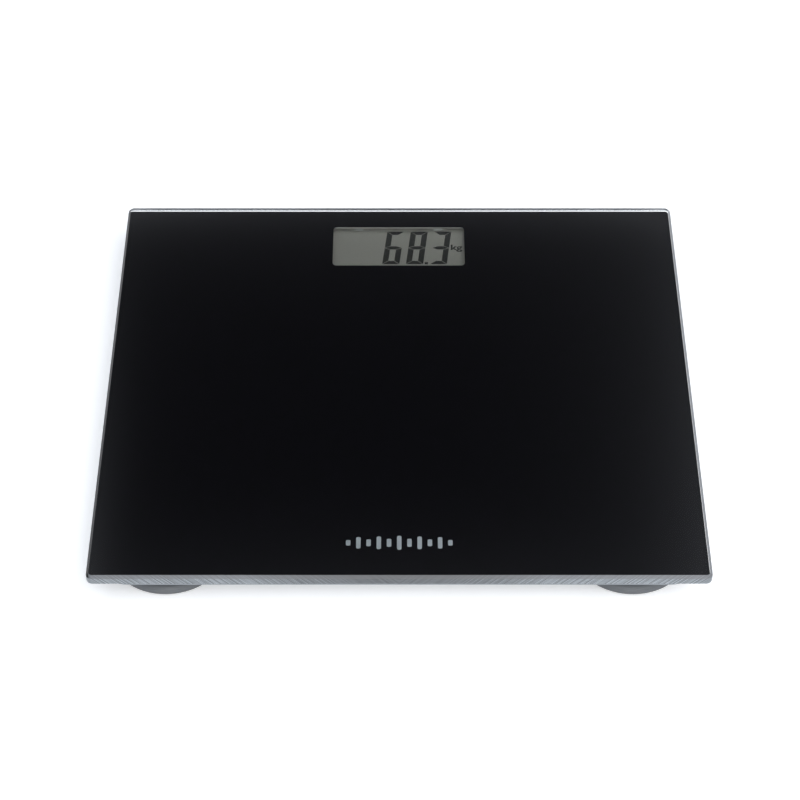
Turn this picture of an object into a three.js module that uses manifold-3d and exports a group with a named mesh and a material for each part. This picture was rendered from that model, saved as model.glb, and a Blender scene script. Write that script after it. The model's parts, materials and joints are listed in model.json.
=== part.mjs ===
// A digital bathroom scale. A bevelled glass platform is bonded to a shallow plastic tray, and stands on four
// round feet. Each foot presses on a steel load cell held under the glass. A liquid crystal display looks up
// through the glass at the back, above a circuit board, and a coin cell sits behind a door underneath.
// Millimetres, +Z up, +Y towards the display. The origin is on the floor, under the middle of the platform.
import * as THREE from "three";
import { mergeVertices } from "three/addons/utils/BufferGeometryUtils.js";
import Module from "manifold-3d";

const wasm = await Module();
wasm.setup();

// ---- Driving dimensions ----

const platform = { width: 290, depth: 260, thickness: 5, corner: 3, topBevel: 1.3, underBevel: 0.3 };
const tray = {
  inset: 1.5, corner: 18, wall: 2, flangeWidth: 5.5, flangeThickness: 1.6, groundClearance: 6.5,
};
const tape = { width: 4.2, thickness: 0.5 };
const rib = { thickness: 1.2, height: 2.5, besideFoot: 16, collarWall: 1.5, collarHeight: 1.1 };
const foot = {
  radius: 28, edgeInset: 7.2, rim: 4, rimDrop: 0.6, edgeRound: 0.8, trayClearance: 1, travel: 0.5,
  stemRadius: 12.8, stemHoleGap: 0.6, lugReach: 1.8, lugThickness: 0.8, lugCount: 3, lugHalfAngle: 0.5,
  bossRadius: 5,
};
const pad = { thickness: 1.6, edgeRound: 0.3 };
const cell = {
  size: 34, corner: 4, thickness: 2.4, frame: 5, tongueWidth: 12, tongueReach: 5, reliefRadius: 2,
};
const carrier = { border: 6, cornerCut: 6, roof: 1.2, tongueRoom: 1.6, tongueBorder: 1, slotWidth: 3 };
const retainer = { thickness: 1.1, screwInset: 2.4, screwBite: 2.5 };
const gaugeCover = { length: 9, width: 8, height: 0.85, corner: 2, bevel: 0.2, offset: 7.2 };
const adhesive = { width: 38, thickness: 0.3 };
const lead = { radius: 0.7, sides: 8, steps: 18, landing: 4.5 };
const lcdWindow = { width: 71, depth: 30.3, backMargin: 13.2 };
const lcd = { border: 3, backBorder: 1.5, frontThickness: 1.1, rearThickness: 1.05, ledge: 2.8 };
const reflector = { inset: 1, thickness: 0.2 };
const frame = { wall: 2, corner: 2, lip: 0.8, openingGap: 0.5, gasketThickness: 0.9, gasketWidth: 2 };
const board = { width: 98, depth: 62, thickness: 1.2, corner: 2, standoff: 2.7, postRadius: 3, holeInset: 4 };
const chip = { x: -12, radius: 7, height: 1.1 };
const contactStrip = { depth: 1.8, length: 66 };
const coin = {
  radius: 10, thickness: 3.2, edgeRound: 0.5, rimDrop: 0.4, capInset: 1.5, floorGap: 0.3, contactRoom: 1.1,
  roof: 1.2, wall: 3, boardGap: 2.5, pryRoom: 5,
};
const door = {
  width: 32, depth: 30, thickness: 1.5, corner: 1.5, bevel: 0.25, centreY: 44, lip: 1.3,
  hookWidth: 4, hookReach: 2, hookRoot: 2.2, hookRise: 0.6, hookSpread: 18,
  latchWidth: 9, latchCut: 0.8, latchLength: 6, hollowRadius: 8, hollowDepth: 1.1,
};
const contact = { thickness: 0.3, leafWidth: 5, armWidth: 1.6, leafReach: 4, armX: 6.2, onBoard: 4 };
const button = {
  x: 36, frontInset: 9, radius: 4, edgeRound: 0.3, holeGap: 0.4, flangeReach: 1.2, flangeThickness: 0.7,
  recess: 0.2, travel: 0.4,
};
const keySwitch = { size: 6, height: 1.3, stemRadius: 1.3, stemGap: 0.2, stemInset: 0.9 };
const screw = {
  radius: 1, tip: 1, headRadius: 2, headHeight: 1.1, slotDepth: 0.5, slotWidth: 0.5, slotLength: 2.4,
};

const gap = 0.05; // between pieces that touch
const play = 0.3; // between pieces that slot together
const slide = 0.15; // beside a piece that moves up and down
const past = 1; // how far a cutting shape runs past what it cuts

const roundSides = 28;
const smallSides = 12;
const screwSides = 8;
const cornerSteps = 3;
const glassCornerSteps = 5;
const trayCornerSteps = 6;

// ---- Heights, worked out from the floor up ----

const floorTop = tray.groundClearance + tray.wall;
const inFloor = floorTop - tray.wall / 2; // where the shapes that stand on the tray's floor start

const padRadius = foot.radius - foot.rim;
const discTop = tray.groundClearance - foot.travel - foot.trayClearance;
const lugBottom = floorTop + slide;
const lugTop = lugBottom + foot.lugThickness;
const retainerBottom = lugTop + foot.travel + slide;
const cellBottom = retainerBottom + retainer.thickness + 2 * gap;
const cellTop = cellBottom + cell.thickness;
const tongueRoof = cellTop + carrier.tongueRoom;
const footStack = tongueRoof + carrier.roof + adhesive.thickness + 4 * gap;

const boardBottom = floorTop + board.standoff;
const boardTop = boardBottom + board.thickness;
const lcdStack = reflector.thickness + lcd.rearThickness + lcd.frontThickness + 3 * gap;
const displayStack = boardTop + play + lcdStack + frame.lip + frame.gasketThickness + 2 * gap;

const doorTop = tray.groundClearance + door.thickness;
const coinBottom = doorTop + coin.floorGap;
const coinTop = coinBottom + coin.thickness;
const coinRoofBottom = coinTop + coin.contactRoom;
const coinRoofTop = coinRoofBottom + coin.roof;
const coinStack = coinRoofTop + play;

const glassBottom = Math.max(footStack, displayStack, coinStack);
const trayTop = glassBottom - tape.thickness - 2 * gap;
const flangeBottom = trayTop - tray.flangeThickness;
const trayBevel = flangeBottom - tray.groundClearance;
const adhesiveBottom = glassBottom - gap - adhesive.thickness;
const carrierTop = adhesiveBottom - gap;

const frameTop = glassBottom - frame.gasketThickness - 2 * gap;
const reflectorBottom = frameTop - frame.lip - lcdStack;
const rearBottom = reflectorBottom + reflector.thickness + gap;
const frontBottom = rearBottom + lcd.rearThickness + gap;

// ---- Places in plan ----

// The tray's walls slope at 45 degrees, so the inner slope is shorter than the outer one for an even wall.
const innerBevel = trayBevel - tray.wall * (2 - Math.SQRT2);
const innerInset = tray.inset + tray.wall + innerBevel;
const innerCorner = Math.max(past, tray.corner - innerInset + tray.inset);

const carrierHalf = cell.size / 2 + carrier.border;
const cornerRoom = (1 - Math.SQRT1_2) * innerCorner + carrierHalf - carrier.cornerCut / 2 + play;
const footInset = Math.max(
  foot.edgeInset + foot.radius,
  innerInset + cornerRoom,
  innerInset + carrierHalf + play,
);
const footX = platform.width / 2 - footInset;
const footY = platform.depth / 2 - footInset;
const corners = [
  { name: "front_left", x: -footX, y: -footY },
  { name: "front_right", x: footX, y: -footY },
  { name: "rear_left", x: -footX, y: footY },
  { name: "rear_right", x: footX, y: footY },
];
const screwOffset = carrierHalf - carrier.cornerCut / 2 - retainer.screwInset;
const retainerScrewPlaces = [[screwOffset, -screwOffset], [-screwOffset, screwOffset]];

const windowY = platform.depth / 2 - lcdWindow.backMargin - lcdWindow.depth / 2;
const lcdWidth = lcdWindow.width + 2 * lcd.border;
const lcdDepth = lcdWindow.depth + lcd.border + lcd.backBorder;
const lcdY = windowY - (lcd.border - lcd.backBorder) / 2;
const openingWidth = lcdWindow.width + 2 * frame.openingGap;
const openingDepth = lcdWindow.depth + 2 * frame.openingGap;
const frameWidth = lcdWidth + 2 * (frame.wall + play);
const frameDepth = lcdDepth + 2 * (frame.wall + play);

const boardWidth = Math.max(board.width, frameWidth + 2 * lead.landing);
const boardBack = lcdY + frameDepth / 2;
const boardFront = boardBack - board.depth;
const postX = boardWidth / 2 - board.holeInset;
const frontPosts = [[-postX, boardFront + board.holeInset], [postX, boardFront + board.holeInset]];
const rearPosts = frontPosts.map(([x]) => [x, boardBack - board.holeInset]);

const doorY = Math.min(door.centreY, boardFront - coin.boardGap - coin.wall - door.depth / 2);
const hingeY = doorY - door.depth / 2;
const latchY = doorY + door.depth / 2;
const coinBlock = { width: door.width + 2 * coin.wall, depth: door.depth + 2 * coin.wall };
const hookPlaces = [-door.hookSpread / 2, door.hookSpread / 2];
const buttonY = boardFront + button.frontInset;
const ribX = footX - carrierHalf - rib.besideFoot;

// ---- Materials ----

function finish(color, roughness, metalness = 0) {
  return new THREE.MeshStandardMaterial({ color, roughness, metalness });
}

const blackGlass = finish(0x0b0c10, 0.05);
const trayPlastic = finish(0x9a9fa4, 0.55);
const footPlastic = finish(0x73777b, 0.6);
const innerPlastic = finish(0xd8d9d6, 0.6);
const rubber = finish(0x3a3c3e, 0.9);
const foam = finish(0x202124, 0.95);
const steel = finish(0xb9bcc0, 0.35, 1);
const nickel = finish(0xd0cfc8, 0.25, 1);
const boardGreen = finish(0x2f6b3c, 0.5);
const epoxy = finish(0x0c0c0d, 0.3);
const lcdGlass = finish(0x8a8d84, 0.15);
const silicone = finish(0xe8e8e4, 0.7);
const wireRed = finish(0x8f2f2c, 0.6);

// ---- Shapes ----

// A rectangle with round corners, centred on the origin.
function roundedRectangle(width, depth, radius) {
  const [x, y] = [width / 2, depth / 2];
  const r = Math.min(radius, x, y);
  const shape = new THREE.Shape();
  shape.absarc(x - r, y - r, r, 0, Math.PI / 2);
  shape.absarc(r - x, y - r, r, Math.PI / 2, Math.PI);
  shape.absarc(r - x, r - y, r, Math.PI, 1.5 * Math.PI);
  shape.absarc(x - r, r - y, r, 1.5 * Math.PI, 2 * Math.PI);
  return shape;
}

function polygon(points) {
  return new THREE.Shape(points.map(([x, y]) => new THREE.Vector2(x, y)));
}

// A square with its corners cut off.
function cutSquare(size, cut) {
  const [a, b] = [size / 2, size / 2 - cut];
  return polygon([[a, b], [b, a], [-b, a], [-a, b], [-a, -b], [-b, -a], [b, -a], [a, -b]]);
}

function circle(radius) {
  return new THREE.Shape().absarc(0, 0, radius, 0, 2 * Math.PI);
}

// A shape drawn in plan and given its thickness upwards from bottom. The bevel is cut off all its edges.
function slab(shape, bottom, thickness, bevel = 0, steps = cornerSteps) {
  const geometry = new THREE.ExtrudeGeometry(shape, {
    depth: thickness - 2 * bevel,
    bevelEnabled: bevel > 0,
    bevelThickness: bevel,
    bevelSize: bevel,
    bevelOffset: -bevel,
    bevelSegments: 1,
    curveSegments: steps,
  });
  return geometry.translate(0, 0, bottom + bevel);
}

function ring(outer, inner, bottom, thickness, steps = cornerSteps) {
  outer.holes.push(inner);
  return slab(outer, bottom, thickness, 0, steps);
}

function box(width, depth, bottom, top, x = 0, y = 0) {
  return new THREE.BoxGeometry(width, depth, top - bottom).translate(x, y, (bottom + top) / 2);
}

function rod(radius, bottom, top, x = 0, y = 0, sides = smallSides) {
  const geometry = new THREE.CylinderGeometry(radius, radius, top - bottom, sides);
  return geometry.rotateX(Math.PI / 2).translate(x, y, (bottom + top) / 2);
}

// A profile of [radius, height] pairs, from the axis round to the axis, turned about Z.
function turned(profile, sides = roundSides) {
  const points = profile.map(([r, z]) => new THREE.Vector2(r, z));
  return new THREE.LatheGeometry(points, sides).rotateX(Math.PI / 2);
}

// A profile of [y, z] pairs, given its width along X.
function strip(profile, width, x = 0) {
  const geometry = new THREE.ExtrudeGeometry(polygon(profile), { depth: width, bevelEnabled: false });
  return geometry.rotateX(Math.PI / 2).rotateZ(Math.PI / 2).translate(x - width / 2, 0, 0);
}

// The outline of a thin sheet bent along a path of [y, z] points.
function bentSheet(path, thickness) {
  const points = path.map(([y, z]) => new THREE.Vector2(y, z));
  const along = points.map((_, i) => {
    const before = points[Math.max(0, i - 1)];
    const after = points[Math.min(points.length - 1, i + 1)];
    return after.clone().sub(before).normalize();
  });
  const side = (sign) => points.map((p, i) => [
    p.x - (sign * along[i].y * thickness) / 2,
    p.y + (sign * along[i].x * thickness) / 2,
  ]);
  return [...side(1), ...side(-1).reverse()];
}

// ---- Joining and cutting ----

function solidOf(geometry) {
  const bare = geometry.clone();
  bare.deleteAttribute("normal");
  bare.deleteAttribute("uv");
  const merged = mergeVertices(bare);
  return new wasm.Manifold(new wasm.Mesh({
    numProp: 3,
    vertProperties: merged.attributes.position.array,
    triVerts: Uint32Array.from(merged.index.array),
  }));
}

function geometryOf(solid) {
  const mesh = solid.getMesh();
  const geometry = new THREE.BufferGeometry();
  geometry.setAttribute("position", new THREE.BufferAttribute(mesh.vertProperties, 3));
  geometry.setIndex(new THREE.BufferAttribute(mesh.triVerts, 1));
  const flat = geometry.toNonIndexed();
  flat.computeVertexNormals();
  return flat;
}

function combine(base, added, removed) {
  let solid = solidOf(base);
  for (const piece of added) solid = solid.add(solidOf(piece));
  for (const piece of removed) solid = solid.subtract(solidOf(piece));
  return geometryOf(solid);
}

const scale = new THREE.Group();

function addPart(name, geometry, material, parent = scale) {
  const mesh = new THREE.Mesh(geometry, material);
  mesh.name = name;
  parent.add(mesh);
  return mesh;
}

// ---- Platform ----

// The glass has a wide chamfer round its top and only a small one underneath, so it is what two slabs share.
function glassPlatform() {
  const { width, depth, thickness, corner, topBevel, underBevel } = platform;
  const height = thickness + topBevel + underBevel;
  const outline = () => roundedRectangle(width, depth, corner);
  const above = slab(outline(), glassBottom - topBevel - underBevel, height, topBevel, glassCornerSteps);
  const below = slab(outline(), glassBottom, height, underBevel, glassCornerSteps);
  return geometryOf(solidOf(above).intersect(solidOf(below)));
}

// The platform's outline drawn in by an inset.
function insetOutline(inset, corner) {
  return roundedRectangle(platform.width - 2 * inset, platform.depth - 2 * inset, corner);
}

function bondingTape() {
  const inset = tray.inset + (tray.flangeWidth - tape.width) / 2;
  const inner = insetOutline(inset + tape.width, tray.corner - tape.width);
  return ring(insetOutline(inset, tray.corner), inner, trayTop + gap, tape.thickness);
}

// ---- Tray ----

// The tray's outer or inner form: upright at its top, and sloping in at 45 degrees to its floor.
function trayForm(inset, bevel, bottom, top) {
  const height = 2 * (top - bottom + bevel);
  const outline = insetOutline(inset, tray.corner - inset + tray.inset);
  const form = slab(outline, bottom, height, bevel, trayCornerSteps);
  const above = box(platform.width, platform.depth, top, bottom + height + past);
  return combine(form, [], [above]);
}

function trayShell() {
  const outer = trayForm(tray.inset, trayBevel, tray.groundClearance, trayTop);
  const cavity = trayForm(tray.inset + tray.wall, innerBevel, floorTop, flangeBottom);
  const mouthOutline = insetOutline(tray.inset + tray.flangeWidth, tray.corner - tray.flangeWidth);
  const mouthHeight = tray.flangeThickness + 2 * past;
  const mouth = slab(mouthOutline, flangeBottom - past, mouthHeight, 0, trayCornerSteps);
  return combine(outer, [], [cavity, mouth]);
}

// Low stiffening ribs on the tray's floor, clear of the feet, the coin cell and the board.
function trayRibs() {
  const top = floorTop + rib.height;
  const length = platform.width - 2 * innerInset - 2 * rib.thickness;
  const depth = platform.depth - 2 * innerInset - 2 * rib.thickness;
  const lastY = hingeY - coin.wall;
  const firstY = carrierHalf + rib.thickness + play - footY;
  const places = [firstY, (firstY + lastY) / 2, lastY];
  const across = places.map((y) => box(length, rib.thickness, inFloor, top, 0, y));
  const beside = [-ribX, ribX].map((x) => box(rib.thickness, depth, inFloor, top, x));
  const middle = box(rib.thickness, lastY + depth / 2, inFloor, top, 0, (lastY - depth / 2) / 2);
  return [...across, ...beside, middle];
}

// Raised collars round the foot holes, which stiffen the floor where the feet pass through.
function footCollars() {
  const radius = foot.stemRadius + foot.stemHoleGap + foot.lugReach + play;
  const height = floorTop + rib.collarHeight - inFloor;
  return corners.map(({ x, y }) => {
    const collar = ring(circle(radius + rib.collarWall), circle(radius), inFloor, height, roundSides / 2);
    return collar.translate(x, y, 0);
  });
}

function boardPosts() {
  const places = [...frontPosts, ...rearPosts];
  return places.map(([x, y]) => rod(board.postRadius, inFloor, boardBottom - gap, x, y));
}

function boardPilots() {
  return frontPosts.map(([x, y]) => rod(screw.radius + gap, floorTop - gap, boardBottom + past, x, y));
}

// What the coin cell's well takes out of its block: the door's seat, the round well, room to prise the cell
// out, room for the door's hooks to turn in, and a slot to the board for each contact.
function coinWell() {
  const floor = tray.groundClearance - past;
  const seat = box(door.width + 2 * play, door.depth + 2 * play, floor, doorTop + gap, 0, doorY);
  const well = rod(coin.radius + play, floor, coinRoofBottom, 0, doorY, roundSides);
  const pry = box(coin.radius + coin.pryRoom, 2 * coin.radius, doorTop, coinRoofBottom, 0, doorY);
  pry.translate(-(coin.radius + coin.pryRoom) / 2, 0, 0);
  const swing = Math.hypot(door.hookReach + play, door.thickness + door.hookRise + play) + play;
  const hookRooms = hookPlaces.map((x) => {
    const [width, depth] = [door.hookWidth + 2 * play, 2 * (door.hookReach + play)];
    return box(width, depth, tray.groundClearance + door.lip, tray.groundClearance + swing, x, hingeY);
  });
  const slots = [[contact.leafWidth, 0], [contact.armWidth, contact.armX]].map(([width, x]) =>
    box(width + 2 * play, door.depth, coinTop + play, coinRoofBottom, x, latchY));
  return [seat, well, pry, ...hookRooms, ...slots];
}

function baseTray() {
  const block = box(coinBlock.width, coinBlock.depth, inFloor, coinRoofTop, 0, doorY);
  const footHoles = corners.map(({ x, y }) =>
    rod(foot.stemRadius + foot.stemHoleGap, 0, floorTop + past, x, y, roundSides));
  const buttonHole = rod(button.radius + button.holeGap, 0, floorTop + past, button.x, buttonY, roundSides);
  const hollowTop = tray.groundClearance + door.hollowDepth;
  const fingerHollow = rod(door.hollowRadius, 0, hollowTop, 0, latchY, roundSides);
  return combine(
    trayShell(),
    [block, ...trayRibs(), ...footCollars(), ...boardPosts()],
    [...footHoles, buttonHole, fingerHollow, ...coinWell(), ...boardPilots()],
  );
}

// ---- Feet, each with its load cell ----

// A lug at the top of a foot's stem, which keeps the foot in the tray.
function footLug(index) {
  const middle = ((index + 0.5) * 2 * Math.PI) / foot.lugCount;
  const [from, to] = [middle - foot.lugHalfAngle, middle + foot.lugHalfAngle];
  const shape = new THREE.Shape();
  shape.absarc(0, 0, foot.stemRadius + foot.lugReach, from, to);
  shape.absarc(0, 0, foot.stemRadius - past, to, from, true);
  return slab(shape, lugBottom, foot.lugThickness);
}

// A round plastic foot: a disc on the floor side, hollow for its pad, a stem through the tray and a boss
// that presses on the load cell's tongue.
function footBody() {
  const { radius, edgeRound: e, rimDrop: low, stemRadius, bossRadius } = foot;
  const pocket = padRadius + slide;
  const pocketTop = pad.thickness + gap;
  const bossTop = cellBottom - gap;
  const body = turned([
    [0, pocketTop], [pocket, pocketTop], [pocket, low], [radius - e, low], [radius, low + e],
    [radius, discTop - e], [radius - e, discTop], [stemRadius, discTop], [stemRadius, lugTop],
    [bossRadius, lugTop], [bossRadius, bossTop - e], [bossRadius - e, bossTop], [0, bossTop],
  ]);
  const lugs = Array.from({ length: foot.lugCount }, (_, i) => footLug(i));
  return combine(body, lugs, []);
}

function footPad() {
  const { thickness, edgeRound: e } = pad;
  return turned([[0, 0], [padRadius - e, 0], [padRadius, e], [padRadius, thickness], [0, thickness]]);
}

// The load cell: a square steel plate with a tongue cut in it, joined at the side nearest the scale's middle.
function loadCell() {
  const inner = cell.size / 2 - cell.frame;
  const [tongue, tip] = [cell.tongueWidth / 2, -cell.tongueReach];
  const plate = roundedRectangle(cell.size, cell.size, cell.corner);
  plate.holes.push(polygon([
    [inner, inner], [-inner, inner], [-inner, -inner], [inner, -inner], [inner, -tongue],
    [tip, -tongue], [tip, tongue], [inner, tongue],
  ]));
  const relief = rod(cell.reliefRadius, cellBottom - past, cellTop + past, inner);
  return combine(slab(plate, cellBottom, cell.thickness), [], [relief]);
}

// The plastic housing that holds the load cell's rim and leaves its tongue free. It is bonded to the glass.
function cellCarrier() {
  const size = 2 * carrierHalf;
  const seatSize = cell.size + 2 * play;
  const roomSize = cell.size - 2 * cell.frame + 2 * carrier.tongueBorder;
  const exitTop = cellTop + 2 * lead.radius + 2 * play;
  const screwTop = cellBottom + retainer.screwBite + play;
  const body = slab(cutSquare(size, carrier.cornerCut), cellBottom, carrierTop - cellBottom);
  const seatOutline = roundedRectangle(seatSize, seatSize, cell.corner);
  const seat = slab(seatOutline, cellBottom - past, cell.thickness + past + gap);
  const room = box(roomSize, roomSize, cellTop, tongueRoof);
  const exit = box(size, carrier.slotWidth, cellBottom + past, exitTop, size / 2);
  const pilots = retainerScrewPlaces.map(([x, y]) =>
    rod(screw.radius + gap, cellBottom - past, screwTop, x, y));
  return combine(body, [], [seat, room, exit, ...pilots]);
}

// The plate that is screwed under the carrier and holds the load cell in it.
function cellRetainer() {
  const opening = foot.stemRadius + foot.lugReach / 2 + play;
  const plate = slab(cutSquare(2 * carrierHalf, carrier.cornerCut), retainerBottom, retainer.thickness);
  const middle = rod(opening, retainerBottom - past, cellBottom, 0, 0, roundSides);
  const holes = retainerScrewPlaces.map(([x, y]) =>
    rod(screw.radius + play, retainerBottom - past, cellBottom, x, y));
  return combine(plate, [], [middle, ...holes]);
}

function gaugeCoverBlob() {
  const { length, width, height, corner, bevel, offset } = gaugeCover;
  const outline = roundedRectangle(length, width, corner);
  return slab(outline, cellTop + gap, height, bevel, cornerSteps - 1).translate(offset, 0, 0);
}

function carrierAdhesive() {
  return slab(cutSquare(adhesive.width, carrier.cornerCut), adhesiveBottom, adhesive.thickness);
}

// A pan-head screw with a cross slot. Its shank points down, and its head stands on z = 0.
function screwBody(length) {
  const { radius, tip, headRadius, headHeight, slotDepth, slotWidth, slotLength } = screw;
  const body = turned([
    [0, -length], [radius / 2, -length], [radius, tip - length], [radius, 0], [headRadius, 0],
    [headRadius, headHeight / 2], [headRadius * 0.7, headHeight], [0, headHeight],
  ], screwSides);
  const slot = box(slotLength, slotWidth, headHeight - slotDepth, headHeight + past);
  return combine(body, [], [slot, slot.clone().rotateZ(Math.PI / 2)]);
}

function addFeet() {
  const shapes = [
    ["foot", footBody(), footPlastic],
    ["foot_pad", footPad(), rubber],
    ["load_cell", loadCell(), steel],
    ["cell_carrier", cellCarrier(), innerPlastic],
    ["cell_retainer", cellRetainer(), innerPlastic],
    ["gauge_cover", gaugeCoverBlob(), silicone],
    ["carrier_adhesive", carrierAdhesive(), foam],
  ];
  const retainerScrew = screwBody(retainer.thickness + retainer.screwBite);
  retainerScrew.rotateX(Math.PI).translate(0, 0, retainerBottom - gap);
  for (const { name, x, y } of corners) {
    const corner = new THREE.Group();
    corner.position.set(x, y, 0);
    corner.rotation.z = x > 0 ? Math.PI : 0;
    scale.add(corner);
    for (const [part, geometry, material] of shapes) addPart(`${part}_${name}`, geometry, material, corner);
    retainerScrewPlaces.forEach(([screwX, screwY], i) => {
      const fitted = addPart(`retainer_screw_${name}_${i + 1}`, retainerScrew, steel, corner);
      fitted.position.set(screwX, screwY, 0);
    });
  }
}

// ---- Leads from the load cells to the board ----

function leadTube(points) {
  const route = new THREE.CatmullRomCurve3(points.map((p) => new THREE.Vector3(...p)), false, "centripetal");
  return new THREE.ExtrudeGeometry(circle(lead.radius), {
    steps: lead.steps,
    extrudePath: route,
    curveSegments: lead.sides / 2,
    bevelEnabled: false,
  });
}

// Each lead starts beside its gauge cover, leaves its carrier through the slot, lies on the tray's ribs and
// rises over the board. The rear leads go straight in, and the front ones pass beside the coin cell's block.
function addLeads() {
  const low = floorTop + rib.height + lead.radius + play;
  const high = cellTop + lead.radius + 2 * gap;
  const end = boardTop + lead.radius + play;
  const carrierEdge = footX - carrierHalf;
  const coverEdge = footX - gaugeCover.offset - gaugeCover.length / 2 - play;
  const railX = coinBlock.width / 2 + 12;
  const mix = THREE.MathUtils.lerp;
  const rear = [
    [mix(carrierEdge, boardWidth / 2, 0.3), footY, low],
    [mix(carrierEdge, boardWidth / 2, 0.7), footY, low],
    [boardWidth / 2 + 1.5, footY, end],
    [boardWidth / 2 - 3, footY, end],
  ];
  const front = [
    [mix(carrierEdge, railX, 0.16), -footY, low],
    [mix(carrierEdge, railX, 0.4), 8 - footY, low],
    [mix(carrierEdge, railX, 0.85), 42 - footY, low],
    [railX, hingeY - 10, low],
    [railX, boardFront - 14, low],
    [railX, boardFront - 2.5, end],
    [railX, boardFront + 3, end],
  ];
  for (const { name, x, y } of corners) {
    const side = Math.sign(x);
    const start = [[coverEdge, y, high], [carrierEdge, y, high]];
    const points = [...start, ...(y > 0 ? rear : front)].map(([px, py, pz]) => [side * px, py, pz]);
    addPart(`cell_lead_${name}`, leadTube(points), wireRed);
  }
}

// ---- Display ----

function displayFrame() {
  const bottom = boardTop + gap;
  const body = slab(roundedRectangle(frameWidth, frameDepth, frame.corner), bottom, frameTop - bottom);
  const pocket = box(lcdWidth + 2 * play, lcdDepth + 2 * play, bottom - past, frameTop - frame.lip);
  const opening = box(openingWidth, openingDepth, bottom, frameTop + past, 0, windowY - lcdY);
  return combine(body, [], [pocket, opening]).translate(0, lcdY, 0);
}

function displayGasket() {
  const border = 2 * frame.gasketWidth;
  const outer = roundedRectangle(openingWidth + border, openingDepth + border, frame.corner);
  const inner = roundedRectangle(openingWidth, openingDepth, frame.corner / 2);
  return ring(outer, inner, frameTop + gap, frame.gasketThickness).translate(0, windowY, 0);
}

// The display's panes. The front one overhangs the rear one, over the rubber strip that meets the board.
function addDisplay() {
  const rearDepth = lcdDepth - lcd.ledge;
  const rearY = lcdY + lcd.ledge / 2;
  const stripY = lcdY - lcdDepth / 2 + contactStrip.depth / 2 + play;
  const frontPane = box(lcdWidth, lcdDepth, frontBottom, frontBottom + lcd.frontThickness - gap, 0, lcdY);
  const rearPane = box(lcdWidth, rearDepth, rearBottom, rearBottom + lcd.rearThickness, 0, rearY);
  const foil = slab(
    roundedRectangle(lcdWidth - 2 * reflector.inset, rearDepth - 2 * reflector.inset, reflector.inset),
    reflectorBottom,
    reflector.thickness,
  );
  const { length, depth } = contactStrip;
  const rubberStrip = box(length, depth, boardTop + gap, frontBottom - gap, 0, stripY);
  addPart("display_frame", displayFrame(), innerPlastic);
  addPart("display_gasket", displayGasket(), foam);
  addPart("lcd_front_glass", frontPane, lcdGlass);
  addPart("lcd_rear_glass", rearPane, lcdGlass);
  addPart("lcd_reflector", foil.translate(0, rearY, 0), nickel);
  addPart("contact_strip", rubberStrip, rubber);
}

// ---- Circuit board ----

function circuitBoard() {
  const outline = roundedRectangle(boardWidth, board.depth, board.corner);
  const plate = slab(outline, boardBottom, board.thickness).translate(0, boardFront + board.depth / 2, 0);
  const holes = frontPosts.map(([x, y]) =>
    rod(screw.radius + play, boardBottom - past, boardTop + past, x, y));
  return combine(plate, [], holes);
}

// The domed blob of resin over the chip, under the board.
function controllerChip() {
  const { x, radius, height } = chip;
  const top = boardBottom - gap;
  const dome = turned([
    [0, top - height], [radius * 0.55, top - height * 0.9], [radius * 0.9, top - height * 0.45],
    [radius, top], [0, top],
  ]);
  return dome.translate(x, boardFront + board.depth / 2, 0);
}

function addBoard() {
  addPart("circuit_board", circuitBoard(), boardGreen);
  addPart("controller_chip", controllerChip(), epoxy);
  const boardScrew = screwBody(boardTop - floorTop - play);
  frontPosts.forEach(([x, y], i) => {
    addPart(`board_screw_${i + 1}`, boardScrew, steel).position.set(x, y, boardTop + gap);
  });
}

// ---- Coin cell, its contacts and its door ----

// The can turns in over the top edge, and the smaller cap stands up inside it.
function coinCell() {
  const { radius, edgeRound: e, rimDrop, capInset } = coin;
  const rim = coinTop - rimDrop;
  const profile = turned([
    [0, coinBottom], [radius - e, coinBottom], [radius, coinBottom + e], [radius, rim - e / 2],
    [radius - e / 2, rim], [radius - capInset + gap, rim], [radius - capInset, coinTop], [0, coinTop],
  ]);
  return profile.translate(0, doorY, 0);
}

// The negative contact is a sprung leaf on the coin cell's cap, and the positive one an arm down to its rim.
// Both run out along the roof of the well and land on the board.
function addContacts() {
  const t = contact.thickness;
  const under = coinRoofBottom - t / 2 - gap;
  const onCap = coinTop + t / 2 + gap;
  const onBoard = boardTop + t / 2 + gap;
  const landing = [
    [boardFront - 1.5, under], [boardFront + 0.5, onBoard], [boardFront + contact.onBoard, onBoard],
  ];
  const reach = contact.leafReach;
  const leaf = bentSheet([[doorY - reach, onCap], [doorY, onCap], [doorY + reach, under], ...landing], t);
  const rimY = doorY + Math.sqrt((coin.radius - coin.edgeRound) ** 2 - contact.armX ** 2);
  const arm = bentSheet([
    [rimY, coinTop - coin.rimDrop + gap], [rimY, under - t], [rimY + 2 * t, under], ...landing,
  ], t);
  addPart("negative_contact", strip(leaf, contact.leafWidth), nickel);
  addPart("positive_contact", strip(arm, contact.armWidth, contact.armX), nickel);
}

// The door lies flush in the tray. Two hooks over the tray's lip are its hinge, and a sprung tab its latch.
function batteryDoor() {
  const bottom = tray.groundClearance + gap;
  const top = doorTop - gap;
  const outline = roundedRectangle(door.width, door.depth, door.corner);
  const plate = slab(outline, bottom, top - bottom, door.bevel).translate(0, doorY, 0);
  const hookBottom = tray.groundClearance + door.lip + slide;
  const hookLength = door.hookReach + door.hookRoot;
  const hookY = hingeY + (door.hookRoot - door.hookReach) / 2;
  const hooks = hookPlaces.map((x) =>
    box(door.hookWidth, hookLength, hookBottom, top + door.hookRise, x, hookY));
  const latchCuts = [-1, 1].map((side) =>
    box(door.latchCut, door.latchLength, bottom - past, top + past, (side * door.latchWidth) / 2, latchY));
  latchCuts.forEach((cut) => cut.translate(0, -door.latchLength / 2, 0));
  return combine(plate, hooks, latchCuts);
}

// ---- Unit button and its switch ----

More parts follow.
